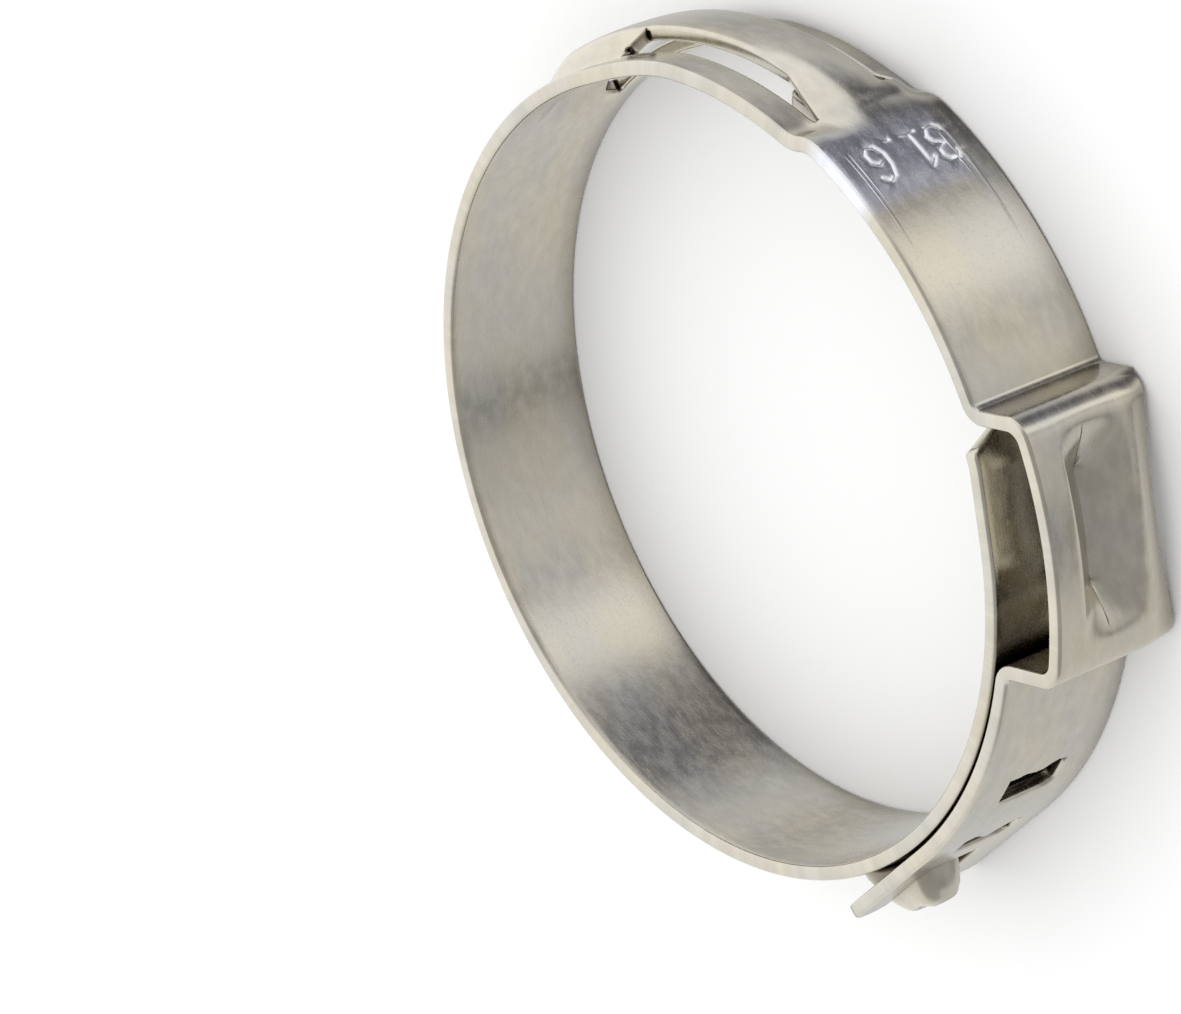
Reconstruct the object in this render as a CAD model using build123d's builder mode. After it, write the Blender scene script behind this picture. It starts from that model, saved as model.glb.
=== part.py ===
from build123d import *
from math import acos, asin, cos, degrees, hypot, radians, sin, sqrt, tan
import os

# Ear hose clamp, stepless pattern, pressed and rolled from one strip of stainless steel.
# Millimetres. The ring's axis is Z and its lower rim lies in the plane Z = 0. The ear
# points along +X. Angles are in degrees, counter-clockwise from +X seen from above.
# The strip runs clockwise: tongue, inner layer, once round the ring, slotted stretch,
# step, raised stretch over the tongue, ear, outer layer over the hooks, free end.

# ---- driving sizes: strip and ring ----
bore_radius = 15.8          # inside of the ring
strip_thickness = 0.6
strip_width = 6.4

# ---- driving sizes: layers ----
lap_gap = 0.1               # between the inner layer and the outer layer on top of it
tongue_lift = 0.25          # the tongue springs this far off the bore
tongue_gap = 0.1            # between the tongue and the raised stretch over it

# ---- driving sizes: ear ----
ear_inner_width = 9.3
ear_inner_height = 2.75     # from the inner layer's back to the underside of the roof
roof_bend = 0.55            # inside radius of the two roof bends
foot_bend = 0.4             # hollow-side radius where each leg leaves the ring
lower_waist = 0.75          # the dimple draws the roof's lower edge in by this much
upper_waist = 0.15          # and its upper edge by this much
dimple_floor_length = 4.8
dimple_floor_width = 1.0
dimple_floor_corner = 0.45
dimple_slope = 50.0         # of its sides, in degrees from straight down
dimple_depth = 1.3
dimple_wall = 0.1           # the boss under the roof is this much larger all round
dimple_offset = 0.3         # towards the upper rim

# ---- driving sizes: step, tunnel, slot and pocket ----
bow = 0.38                  # the slotted stretch springs this far off the bore
bow_angle = 84.0            # the whole bow is reached here
bow_start_angle = 104.0     # and starts here
step_angle = 62.0           # where the step meets the slotted stretch
step_bend = 1.3             # hollow-side radius of the step's two bends
slot_width = 2.25
slot_offset = 0.55          # towards the upper rim
slot_end_angle = 104.5
tunnel_mouth_angle = 69.0
tunnel_wall = 0.55
tunnel_shoulder = 0.9       # rounding along the tunnel's two shoulders
tunnel_side_angle = 61.5    # its upper flank is open from here to the mouth
tunnel_side_height = 0.4    # height of that opening
pocket_angle = 105.0
pocket_level = 1.0          # middle of the pocket at the slot's far end, over the lower rim
pocket_height = 1.0         # how far it is pressed out
pocket_radius = 9.0         # of its outside round the ring
pocket_reach = 5.3          # along Z, from its middle to where it runs out

# ---- driving sizes: tongue ----
tongue_width = 1.8
tongue_tip_width = 1.0
tongue_reach = 1.2          # past the tunnel's mouth, in degrees
shoulder_height = 3.5       # where the inner layer's full width ends, measured along Y
shoulder_slant = 1.0        # length of the slanted shoulder, along Y

# ---- driving sizes: outer layer, windows, hooks and free end ----
free_end_angle = -74.2
flare_angle = -54.5         # from here the outer layer runs straight to the free end
free_end_corner = 0.5
window_length = 3.1
window_width = 2.75
window_corner = 0.3
window_angles = (-37.7, -51.8)
window_level = 3.1          # middle of the windows and hooks over the lower rim
hook_width = 2.6
hook_height = 0.8           # over the back of the inner layer
hook_wall = 0.4
hook_round = 0.4            # rounding of a hood's two ends, as a share of half its width
hook_slit = 1.2             # lanced opening in front of each hook, in degrees
hook_angles = (-37.3, -52.6)    # of the hooks' cut faces
notch_width = 2.6
notch_level = 3.4           # middle of the notch and the guide hook over the lower rim
notch_angle = -61.8         # the notch runs from here to the free end
guide_angle = -76.8         # cut face of the guide hook in the notch
guide_width = 2.0
guide_height = 2.0          # over the back of the inner layer
guide_length = 4.2
guide_top = 2.9             # length of its flat top
guide_round = 0.7

# ---- derived: radii of the strip's middle line in each layer ----
base_line = bore_radius + strip_thickness / 2
base_outside = bore_radius + strip_thickness
tongue_line = base_line + tongue_lift
tongue_outside = tongue_line + strip_thickness / 2
raised_inside = tongue_outside + tongue_gap
raised_line = raised_inside + strip_thickness / 2
raised_outside = raised_inside + strip_thickness
lap_inside = base_outside + lap_gap
lap_line = lap_inside + strip_thickness / 2
roof_inside = base_outside + ear_inner_height
roof_line = roof_inside + strip_thickness / 2
roof_outside = roof_inside + strip_thickness
leg_line = ear_inner_width / 2 + strip_thickness / 2
middle = strip_width / 2
slot_middle = middle + slot_offset
beneath = bore_radius - strip_thickness             # a radius inside everything
beyond = roof_outside + strip_thickness             # a radius outside everything


def on_circle(radius, angle):
    """Point at this radius and angle in the plane of the ring."""
    return Vector(radius * cos(radians(angle)), radius * sin(radians(angle)))


def angle_of(point):
    """Angle round the ring's axis of a point in the ear's quarter, in degrees."""
    return degrees(asin(point.Y / hypot(point.X, point.Y)))


def leg_bend(circle_radius, bend_radius, outwards):
    """Ends of the bend joining a leg to a circle round the ring's axis: on the circle,
    and on the leg. outwards is -1 where the bend lies inside the circle, as at the roof,
    and +1 where it lies outside, as at the foot."""
    reach = circle_radius + outwards * bend_radius
    centre_y = leg_line + outwards * bend_radius
    centre = Vector(sqrt(reach**2 - centre_y**2), centre_y)
    return centre * (circle_radius / reach), Vector(centre.X, leg_line)


def mirrored(point):
    """The same point on the other side of the ear's middle plane."""
    return Vector(point.X, -point.Y)


def radial_plane(angle, radius, height):
    """Plane facing outwards at this angle: its x runs round the ring and its y along Z."""
    here = on_circle(radius, angle)
    return Plane(
        origin=(here.X, here.Y, height),
        x_dir=(-sin(radians(angle)), cos(radians(angle)), 0),
        z_dir=(cos(radians(angle)), sin(radians(angle)), 0),
    )


def upright_plane(angle):
    """Plane through the ring's axis: its x runs outwards at this angle and its y along Z."""
    return Plane(
        origin=(0, 0, 0),
        x_dir=(cos(radians(angle)), sin(radians(angle)), 0),
        z_dir=(sin(radians(angle)), -cos(radians(angle)), 0),
    )


def ring_sector(inside, outside, low, high, start, end):
    """Solid between two radii, two heights and two angles."""
    with BuildPart() as sector:
        with BuildSketch(upright_plane(start)):
            with Locations(((inside + outside) / 2, (low + high) / 2)):
                Rectangle(outside - inside, high - low)
        revolve(axis=Axis.Z, revolution_arc=end - start)
    return sector.part


def radial_punch(angle, length, width, corner, inside, height):
    """Rounded rectangular punch through everything outside one radius."""
    with BuildPart() as punch:
        with BuildSketch(radial_plane(angle, beneath, height)):
            RectangleRounded(length, width, corner)
        extrude(amount=beyond - beneath)
        Cylinder(inside, 3 * strip_width, mode=Mode.SUBTRACT)
    return punch.part


def hood(angle, radius, width, height):
    """Quarter of a cylinder with round ends lying along Z, highest at the flat with which
    it faces the free end. The radius is that of the surface it stands on, the angle that
    of the flat."""
    with BuildPart() as shape:
        with BuildSketch(radial_plane(angle, radius, window_level)):
            with Locations((height / 2, 0)):
                Rectangle(height, width)
            fillet(vertices().group_by(Axis.X)[-1], hook_round * width / 2)
        foot = on_circle(radius, angle)
        revolve(axis=Axis((foot.X, foot.Y, 0), (0, 0, -1)), revolution_arc=90)
    return shape.part


# ---- the strip's middle line ----
foot_radius = foot_bend + strip_thickness / 2
raised_foot, upper_leg_low = leg_bend(raised_line, foot_radius, 1)
lap_foot, lower_leg_low = leg_bend(lap_line, foot_radius, 1)
roof_end, leg_high = leg_bend(roof_line, roof_bend + strip_thickness / 2, -1)
raised_foot_angle = angle_of(raised_foot)
lap_foot_angle = -angle_of(lap_foot)
roof_end_angle = angle_of(roof_end)

# The inner layer runs straight from the ear's middle to a kink where the tongue begins.
kink = Vector(base_line, sqrt(tongue_line**2 - base_line**2))
kink_angle = angle_of(kink)
tongue_tip_angle = tunnel_mouth_angle + tongue_reach

# The step is two equal arcs, one rolling off the raised circle and one on to the base circle.
step_radius = step_bend + strip_thickness / 2
step_high = raised_line - step_radius
bow_line = base_line + bow
step_low = bow_line + step_radius
step_span = acos((step_high**2 + step_low**2 - 4 * step_radius**2) / (2 * step_high * step_low))
raised_end_angle = step_angle - degrees(step_span)
step_centre = (on_circle(step_high, raised_end_angle) + on_circle(step_low, step_angle)) / 2

# The outer layer leaves the ring along a tangent, so its end is square to that tangent.
flare_span = radians(flare_angle - free_end_angle)
flare_length = lap_line * tan(flare_span)
free_end_radius = lap_line / cos(flare_span)

# ---- punches ----
lap_split = base_outside + lap_gap / 2              # between inner and outer layer
tongue_split = tongue_outside + tongue_gap / 2      # between tongue and raised stretch
tongue_low = slot_middle - tongue_width / 2
tongue_high = slot_middle + tongue_width / 2
shoulder_end = shoulder_height + shoulder_slant
shoulder_end_angle = degrees(asin(shoulder_end / base_outside))


def shoulder_cut(rim, edge):
    """Slanted cut from the full width down to the tongue: from one rim of the strip to the
    tongue's edge on that side."""
    with BuildPart() as cut:
        with BuildSketch(Plane.YZ.offset(beneath)):
            with BuildLine():
                Polyline(
                    (shoulder_height, rim),
                    (shoulder_end + strip_thickness, rim),
                    (shoulder_end + strip_thickness, edge),
                    (shoulder_end, edge),
                    close=True,
                )
            make_face()
        extrude(amount=tongue_split - beneath)
    return cut.part


def tip_cut(side):
    """Slanted cut that narrows the end of the tongue, at one side."""
    with BuildPart() as cut:
        with BuildSketch(radial_plane(tongue_tip_angle, beneath, slot_middle)):
            with BuildLine():
                Polyline(
                    (-tongue_width, side * tongue_width / 2),
                    (tongue_width, side * tongue_width / 2),
                    (tongue_width, side * tongue_tip_width / 2),
                    (0, side * tongue_tip_width / 2),
                    close=True,
                )
            make_face()
        extrude(amount=tongue_split - beneath)
    return cut.part


# The tongue runs on from the inner layer, under the raised stretch and into the slot.
tongue_inside = tongue_outside - strip_thickness
with BuildPart() as tongue:
    add(
        ring_sector(
            tongue_inside, tongue_outside, tongue_low, tongue_high, kink_angle, tongue_tip_angle
        )
    )
    add(tip_cut(1), mode=Mode.SUBTRACT)
    add(tip_cut(-1), mode=Mode.SUBTRACT)

slot_low = slot_middle - slot_width / 2
slot_high = slot_middle + slot_width / 2
slot_cut = ring_sector(beneath, beyond, slot_low, slot_high, tunnel_mouth_angle, slot_end_angle)
tunnel_cut = ring_sector(
    beneath, raised_inside, slot_low, slot_high, raised_end_angle, slot_end_angle
)

# The tunnel keeps the raised level after the step, on two flanks that stand on the slotted
# stretch. Along its upper side it is open, where the tongue can be seen.
with BuildPart() as tunnel:
    flank = slot_width / 2 + tunnel_wall
    with BuildSketch(upright_plane(raised_end_angle)):
        with BuildLine():
            Polyline(
                (bow_line, slot_middle - flank - tunnel_wall / 2),
                (raised_outside, slot_middle - flank + tunnel_wall / 2),
                (raised_outside, slot_middle + flank - tunnel_wall / 2),
                (bow_line, slot_middle + flank + tunnel_wall / 2),
                close=True,
            )
        make_face()
        fillet(vertices().group_by(Axis.X)[-1], tunnel_shoulder)
    revolve(axis=Axis.Z, revolution_arc=tunnel_mouth_angle - raised_end_angle)
tunnel_side_low = bow_line + strip_thickness / 2
tunnel_side = ring_sector(
    tunnel_side_low,
    tunnel_side_low + tunnel_side_height,
    slot_high - tunnel_wall,
    slot_high + 2 * tunnel_wall,
    tunnel_side_angle,
    tunnel_mouth_angle,
)


def barrel(shrink):
    """Barrel standing on the pocket's middle: the outside of the pocket, shrunk by an
    even amount."""
    belly = pocket_radius - shrink
    stave = (pocket_reach**2 + pocket_height**2) / (2 * pocket_height) - shrink
    axis_point = on_circle(base_outside + pocket_height - pocket_radius, pocket_angle)
    with BuildPart() as body:
        with BuildSketch(Plane.XZ):
            with Locations((belly - stave, pocket_level)):
                Circle(stave)
            with Locations((belly / 2, middle)):
                Rectangle(belly, 2 * strip_width, mode=Mode.INTERSECT)
        revolve(axis=Axis.Z)
    return body.part.moved(Location((axis_point.X, axis_point.Y, 0)))


# The pocket is pressed out of the ring at the slot's far end and runs out at the lower rim.
with BuildPart() as pocket_cap:
    add(barrel(0))
    Cylinder(base_line, 3 * strip_width, mode=Mode.SUBTRACT)
    with Locations((0, 0, middle)):
        Cylinder(beyond, strip_width, mode=Mode.INTERSECT)


def dimple(grow, floor, ceiling):
    """Tapered die of the dimple in the ear's roof. It opens out from the floor and is
    bounded above by a cylinder round the ring's axis."""
    with BuildPart() as die:
        with BuildSketch(radial_plane(0, floor, middle + dimple_offset)):
            RectangleRounded(
                dimple_floor_length + 2 * grow,
                dimple_floor_width + 2 * grow,
                dimple_floor_corner + grow,
            )
        extrude(amount=beyond - floor, taper=-dimple_slope)
        Cylinder(ceiling, 3 * strip_width, mode=Mode.INTERSECT)
    return die.part


dimple_floor = roof_outside - dimple_depth
dimple_die = dimple(0, dimple_floor, beyond - strip_thickness / 2)
dimple_boss = dimple(dimple_wall, dimple_floor - strip_thickness, roof_line)


def waist_arc(draw):
    """Radius of the arc that draws a rim of the roof in by this much."""
    half = leg_line + strip_thickness / 2
    return (half**2 + draw**2) / (2 * draw)


waist_start = roof_inside * cos(radians(roof_end_angle))
with BuildPart() as waist:
    with BuildSketch(Plane.YZ.offset(waist_start)):
        with Locations((0, strip_width - upper_waist + waist_arc(upper_waist))):
            Circle(waist_arc(upper_waist))
        with Locations((0, lower_waist - waist_arc(lower_waist))):
            Circle(waist_arc(lower_waist))
    extrude(amount=beyond - waist_start)

windows = [
    radial_punch(angle, window_length, window_width, window_corner, lap_split, window_level)
    for angle in window_angles
]
notch_reach = flare_length - lap_line * tan(radians(flare_angle - notch_angle))
with BuildPart() as free_end_punch:
    with BuildSketch(radial_plane(flare_angle, beneath, middle)):
        with Locations((free_end_corner - flare_length, 0)):
            Rectangle(2 * free_end_corner, strip_width)
        with Locations((2 * free_end_corner - flare_length, 0)):
            RectangleRounded(
                4 * free_end_corner, strip_width, free_end_corner, mode=Mode.SUBTRACT
            )
        with Locations((-flare_length, notch_level - middle)):
            RectangleRounded(2 * notch_reach, notch_width, window_corner)
    extrude(amount=beyond - beneath)
    Cylinder(lap_split, 3 * strip_width, mode=Mode.SUBTRACT)


def hood_shell(angle):
    """Hollow hood of a hook, standing on the inner layer with its foot sunk into it."""
    rise = hook_height + strip_thickness / 2
    with BuildPart() as shell:
        add(hood(angle, base_line, hook_width, rise))
        add(
            hood(angle, base_line, hook_width - 2 * hook_wall, rise - hook_wall),
            mode=Mode.SUBTRACT,
        )
    return shell.part


def guide_body(shrink):
    """Body of the guide hook, steep at its cut face and sloping towards the ear, shrunk by
    an even amount everywhere but at its foot and its cut face."""
    rise = guide_height + strip_thickness / 2 - shrink
    width = guide_width - 2 * shrink
    foot = on_circle(base_line, guide_angle)
    along = on_circle(1, guide_angle + 90)
    side_view = Plane(
        origin=(foot.X, foot.Y, notch_level + width / 2), x_dir=along, z_dir=(0, 0, -1)
    )
    end_view = Plane(origin=(foot.X, foot.Y, notch_level), x_dir=(0, 0, 1), z_dir=along)
    with BuildPart() as body:
        with BuildSketch(side_view):
            with BuildLine():
                Polyline(
                    (0, -strip_thickness),
                    (0, rise),
                    (guide_top - shrink, rise),
                    (guide_length - shrink, 0),
                    (guide_length - shrink, -strip_thickness),
                    close=True,
                )
            make_face()
            fillet(vertices().group_by(Axis.Y)[-1].sort_by(Axis.X)[-1], guide_round)
        extrude(amount=width)
        with BuildSketch(end_view):
            Rectangle(width, 2 * rise)
            fillet(vertices().group_by(Axis.Y)[-1], guide_round - shrink / 2)
        extrude(amount=guide_length, mode=Mode.INTERSECT)
        Cylinder(base_line, 3 * strip_width, mode=Mode.SUBTRACT)
    return body.part


with BuildPart() as guide_hook:
    add(guide_body(0))
    add(guide_body(hook_wall), mode=Mode.SUBTRACT)

hook_slits = [
    ring_sector(
        beneath,
        lap_split,
        window_level - hook_width / 2 + hook_wall,
        window_level + hook_width / 2 - hook_wall,
        angle - hook_slit,
        angle + degrees((hook_height - hook_wall) / base_outside),
    )
    for angle in hook_angles
]
guide_slit = ring_sector(
    beneath,
    lap_split,
    notch_level - guide_width / 2 + hook_wall,
    notch_level + guide_width / 2 - hook_wall,
    guide_angle - hook_slit,
    guide_angle + degrees((guide_length - hook_wall) / base_outside),
)

with BuildPart() as clamp:
    with BuildSketch():
        with BuildLine():
            CenterArc((0, 0), tongue_line, shoulder_end_angle, kink_angle - shoulder_end_angle)
            Line(kink, (base_line, 0))
            CenterArc((0, 0), base_line, 0, bow_start_angle - 360)
            Spline(
                on_circle(base_line, bow_start_angle),
                on_circle(bow_line, bow_angle),
                tangents=(
                    on_circle(1, bow_start_angle - 90),
                    on_circle(1, bow_angle - 90),
                ),
            )
            CenterArc((0, 0), bow_line, bow_angle, step_angle - bow_angle)
            TangentArc(
                on_circle(bow_line, step_angle),
                step_centre,
                tangent=on_circle(1, step_angle - 90),
            )
            TangentArc(
                on_circle(raised_line, raised_end_angle),
                step_centre,
                tangent=on_circle(1, raised_end_angle + 90),
            )
            CenterArc((0, 0), raised_line, raised_end_angle, raised_foot_angle - raised_end_angle)
            TangentArc(raised_foot, upper_leg_low, tangent=on_circle(1, raised_foot_angle - 90))
            Line(upper_leg_low, leg_high)
            TangentArc(leg_high, roof_end, tangent=(1, 0))
            CenterArc((0, 0), roof_line, roof_end_angle, -2 * roof_end_angle)
            TangentArc(mirrored(leg_high), mirrored(roof_end), tangent=(1, 0))
            Line(mirrored(leg_high), mirrored(lower_leg_low))
            TangentArc(mirrored(lower_leg_low), mirrored(lap_foot), tangent=(-1, 0))
            CenterArc((0, 0), lap_line, lap_foot_angle, flare_angle - lap_foot_angle)
            Line(on_circle(lap_line, flare_angle), on_circle(free_end_radius, free_end_angle))
        trace(line_width=strip_thickness)
    extrude(amount=strip_width)

    add(shoulder_cut(0, tongue_low), mode=Mode.SUBTRACT)
    add(shoulder_cut(strip_width, tongue_high), mode=Mode.SUBTRACT)

    add(tunnel.part)
    add(pocket_cap.part)
    add(barrel(strip_thickness), mode=Mode.SUBTRACT)
    add(tunnel_cut, mode=Mode.SUBTRACT)
    add(slot_cut, mode=Mode.SUBTRACT)
    add(tunnel_side, mode=Mode.SUBTRACT)
    add(tongue.part)

    add(waist.part, mode=Mode.SUBTRACT)
    add(dimple_boss)
    add(dimple_die, mode=Mode.SUBTRACT)

    for window in windows:
        add(window, mode=Mode.SUBTRACT)
    add(free_end_punch.part, mode=Mode.SUBTRACT)
    for slit in hook_slits:
        add(slit, mode=Mode.SUBTRACT)
    add(guide_slit, mode=Mode.SUBTRACT)
    for angle in hook_angles:
        add(hood_shell(angle))
    add(guide_hook.part)

clamp.part.label = "clamp_band"
os.makedirs("parts", exist_ok=True)
export_step(clamp.part, "parts/clamp_band.step")
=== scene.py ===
# Ear hose clamp: one strip of stainless steel, drawn flat as a blank, cut and formed there,
# then rolled along the strip's middle line and given its thickness.
# The blank and all named sizes are in millimetres and degrees, and MM turns them to metres.
# The ring's axis is Z, its lower rim lies on the ground and the ear points along +X.

import bisect
import math

import bmesh
import bpy
from mathutils import Matrix, Vector


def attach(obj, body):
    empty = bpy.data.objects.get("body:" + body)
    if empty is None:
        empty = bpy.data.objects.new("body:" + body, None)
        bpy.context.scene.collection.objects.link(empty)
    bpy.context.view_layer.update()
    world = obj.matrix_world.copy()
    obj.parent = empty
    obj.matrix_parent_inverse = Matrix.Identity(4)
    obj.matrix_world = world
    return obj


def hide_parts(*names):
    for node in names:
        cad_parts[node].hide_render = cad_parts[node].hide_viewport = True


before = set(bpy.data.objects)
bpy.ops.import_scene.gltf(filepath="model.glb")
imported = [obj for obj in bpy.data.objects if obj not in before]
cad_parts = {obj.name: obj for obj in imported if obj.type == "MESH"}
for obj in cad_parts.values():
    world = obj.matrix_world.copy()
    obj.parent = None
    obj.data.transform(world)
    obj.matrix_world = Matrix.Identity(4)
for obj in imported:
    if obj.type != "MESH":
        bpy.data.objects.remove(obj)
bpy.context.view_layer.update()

MM = 0.001

# ---- camera ----
camera_place = (0.17589, 0.07016, 0.13844)
camera_right = (0.61561, -0.15008, -0.77363)
camera_up = (-0.15285, 0.94032, -0.30405)
camera_back = (0.77308, 0.30542, 0.55593)
camera_lens = 182.9
sensor_width = 36.0

scene = bpy.context.scene
camera_data = bpy.data.cameras.new("camera")
camera_data.lens = camera_lens
camera_data.sensor_width = sensor_width
camera = bpy.data.objects.new("camera", camera_data)
camera_turn = Matrix((camera_right, camera_up, camera_back)).transposed().to_4x4()
camera.matrix_world = Matrix.Translation(camera_place) @ camera_turn
scene.collection.objects.link(camera)
scene.camera = camera
scene.view_settings.view_transform = "Standard"


def linear(code):
    """Scene-linear colour of an sRGB hex code."""
    parts = [int(code[i : i + 2], 16) / 255 for i in (1, 3, 5)]
    return [p / 12.92 if p <= 0.04045 else ((p + 0.055) / 1.055) ** 2.4 for p in parts] + [1.0]


def smooth(low, high, value):
    """0 up to low, 1 from high on, and a smooth rise between. Also falls, if low > high."""
    t = min(1.0, max(0.0, (value - low) / (high - low)))
    return t * t * (3.0 - 2.0 * t)


# ---- sizes of the strip, in millimetres and degrees ----
thickness = 0.6
width = 6.4
base_line = 16.1            # radius of the middle line on the ring itself
bow_line = 16.48            # where the two rails spring off the bore
tongue_line = 16.35
raised_line = 17.05
lap_line = 16.8
roof_line = 19.45
leg_line = 4.95             # of each leg, from the ear's middle plane
shoulder_circle = 16.4      # on which the tongue's shoulders are measured
roof_bend = 0.85
foot_bend = 0.7
step_radius = 1.6
step_angle = 62.0
bow_angle = 84.0
bow_start_angle = 104.0
tongue_tip_angle = 70.2
flare_angle = -54.5
free_end_angle = -74.2


# ---- the strip's middle line, from the tongue's tip to the free end ----
class Pen:
    """Draws the middle line and notes where along it each stretch begins."""

    def __init__(self, start):
        self.points = [start]
        self.length = 0.0
        self.stations = {}

    def to(self, point):
        self.length += math.dist(self.points[-1], point)
        self.points.append(point)

    def mark(self, name):
        self.stations[name] = self.length

    def arc(self, centre, radius, start, end):
        """Arc from one angle to the other; its first point is where the pen is."""
        steps = max(2, int(abs(end - start) / arc_step(radius)))
        for i in range(1, steps + 1):
            a = math.radians(start + (end - start) * i / steps)
            self.to((centre[0] + radius * math.cos(a), centre[1] + radius * math.sin(a)))


def arc_step(radius):
    """Degrees between two points of an arc: finer on tight bends."""
    return 0.5 if radius > 5.0 else 4.0


def polar(radius, angle):
    return (radius * math.cos(math.radians(angle)), radius * math.sin(math.radians(angle)))


def heading(centre, point):
    return math.degrees(math.atan2(point[1] - centre[1], point[0] - centre[0]))


origin = (0.0, 0.0)
kink = (base_line, math.sqrt(tongue_line**2 - base_line**2))
kink_angle = heading(origin, kink)

step_high = raised_line - step_radius
step_low = bow_line + step_radius
step_span = math.degrees(
    math.acos((step_high**2 + step_low**2 - 4 * step_radius**2) / (2 * step_high * step_low))
)
raised_end = step_angle - step_span
step_in = polar(step_high, raised_end)
step_out = polar(step_low, step_angle)


def bend_centre(circle, radius, outwards):
    """Centre of the bend between the upper leg and a circle round the ring's axis."""
    y = leg_line + outwards * radius
    return (math.sqrt((circle + outwards * radius) ** 2 - y**2), y)


raised_foot = bend_centre(raised_line, foot_bend, 1)
lap_foot = bend_centre(lap_line, foot_bend, 1)
roof_corner = bend_centre(roof_line, roof_bend, -1)
roof_end = heading(origin, roof_corner)
raised_foot_angle = heading(origin, raised_foot)
lap_foot_angle = heading(origin, lap_foot)
lap_foot_low = (lap_foot[0], -lap_foot[1])
roof_corner_low = (roof_corner[0], -roof_corner[1])

pen = Pen(polar(tongue_line, tongue_tip_angle))
pen.mark("tongue")
pen.arc(origin, tongue_line, tongue_tip_angle, kink_angle)
pen.mark("straight")
pen.to((base_line, kink[1] / 2))
pen.to((base_line, 0.0))
pen.mark("ring")
pen.arc(origin, base_line, 0.0, bow_start_angle - 360.0)
pen.mark("bow")
bow_steps = 40
for i in range(1, bow_steps + 1):
    t = i / bow_steps
    radius = base_line + (bow_line - base_line) * smooth(0.0, 1.0, t)
    pen.to(polar(radius, bow_start_angle + (bow_angle - bow_start_angle) * t))
pen.mark("rails")
pen.arc(origin, bow_line, bow_angle, step_angle)
pen.mark("step")
pen.arc(step_out, step_radius, step_angle - 180.0, heading(step_out, step_in))
pen.arc(step_in, step_radius, heading(step_in, step_out), raised_end)
pen.mark("raised")
pen.arc(origin, raised_line, raised_end, raised_foot_angle)
pen.mark("upper_foot")
pen.arc(raised_foot, foot_bend, raised_foot_angle - 180.0, -90.0)
pen.mark("upper_leg")
pen.to((roof_corner[0], leg_line))
pen.mark("upper_corner")
pen.arc(roof_corner, roof_bend, 90.0, roof_end)
pen.mark("roof")
pen.arc(origin, roof_line, roof_end, -roof_end)
pen.mark("lower_corner")
pen.arc(roof_corner_low, roof_bend, -roof_end, -90.0)
pen.mark("lower_leg")
pen.to((lap_foot[0], -leg_line))
pen.mark("lower_foot")
pen.arc(lap_foot_low, foot_bend, 90.0, 180.0 - lap_foot_angle)
pen.mark("lap")
pen.arc(origin, lap_line, -lap_foot_angle, flare_angle)
pen.mark("flare")
flare_span = math.radians(flare_angle - free_end_angle)
pen.to(polar(lap_line / math.cos(flare_span), free_end_angle))
pen.mark("end")
at = pen.stations


def along(name, radius, start, angle):
    """Distance along the strip of an angle on one of its round stretches."""
    return at[name] + radius * math.radians(start - angle)


def on_ring(angle):
    return along("ring", base_line, 0.0, angle if angle < 0 else angle - 360.0)


def on_rails(angle):
    return along("rails", bow_line, bow_angle, angle)


def on_tongue(angle):
    return along("tongue", tongue_line, tongue_tip_angle, angle)


def on_lap(angle):
    return along("lap", lap_line, -lap_foot_angle, angle)


def on_raised(angle):
    return along("raised", raised_line, raised_end, angle)


# ---- openings and outline of the flat blank: x along the strip, y across it ----
# the arch stands up between a front rail and a rear rail, which keep the ring's radius
arch_low = 1.5
arch_high = 4.1
arch_mouth_high = 4.74
rail_low = 0.85
rail_high = 4.9
arch_line = 17.13
arch_foot_top = 115.0
arch_foot_end = 129.0
front_angle = 100.2
rear_angles = (124.5, 63.0)
front_start = (
    on_ring(bow_start_angle) + on_rails(front_angle) - on_rails(bow_start_angle)
)
front_end = at["step"] + 0.2
rear_start = on_ring(rear_angles[0])
rear_end = on_rails(rear_angles[1])
mouth = on_rails(70.0)
tongue_middle = 3.15
tongue_half = 1.15
tongue_low = tongue_middle - tongue_half
tongue_high = tongue_middle + tongue_half
tongue_tip_half = 0.75
tongue_tip_length = 0.6
shoulder_height = 3.5
shoulder_slant = 1.0
shoulder_top = shoulder_height + shoulder_slant
shoulder_far = on_tongue(math.degrees(math.asin(shoulder_top / shoulder_circle)))
shoulder_near = on_tongue(math.degrees(math.asin(shoulder_height / shoulder_circle)))

# The windows are as short as they look with a hook in them. No hook is formed: the torn
# near edge of each window stands for it, and the ring has a plain slit below.
window_level = 3.1
window_reach = ((0.15, 1.6), (0.3, 1.5))    # near and far edge, from the window's angle
window_width = 2.75
window_corner = 0.35
window_angles = (-37.7, -51.8)
slit_angles = (-39.6, -54.7)
slit_width = 2.2
slit_length = 0.6
slit_corner = 0.1
torn_edges = (
    (-0.05, 0.06, -0.1, 0.02, 0.12, 0.1, -0.04, -0.12, 0.0),
    (0.0, -0.06, 0.1, 0.5, 0.62, 0.3, 0.05, -0.05, 0.02),
)

notch_level = 3.4
notch_width = 2.6
notch_corner = 0.35
notch_angle = -61.8
end_corner = 0.55
guide_angle = -74.5
guide_level = 3.75
guide_width = 1.95
guide_height = 2.2
guide_length = 3.4
guide_dent = 0.2

end = at["end"]
notch_start = at["flare"] + lap_line * math.tan(math.radians(flare_angle - notch_angle))


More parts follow.
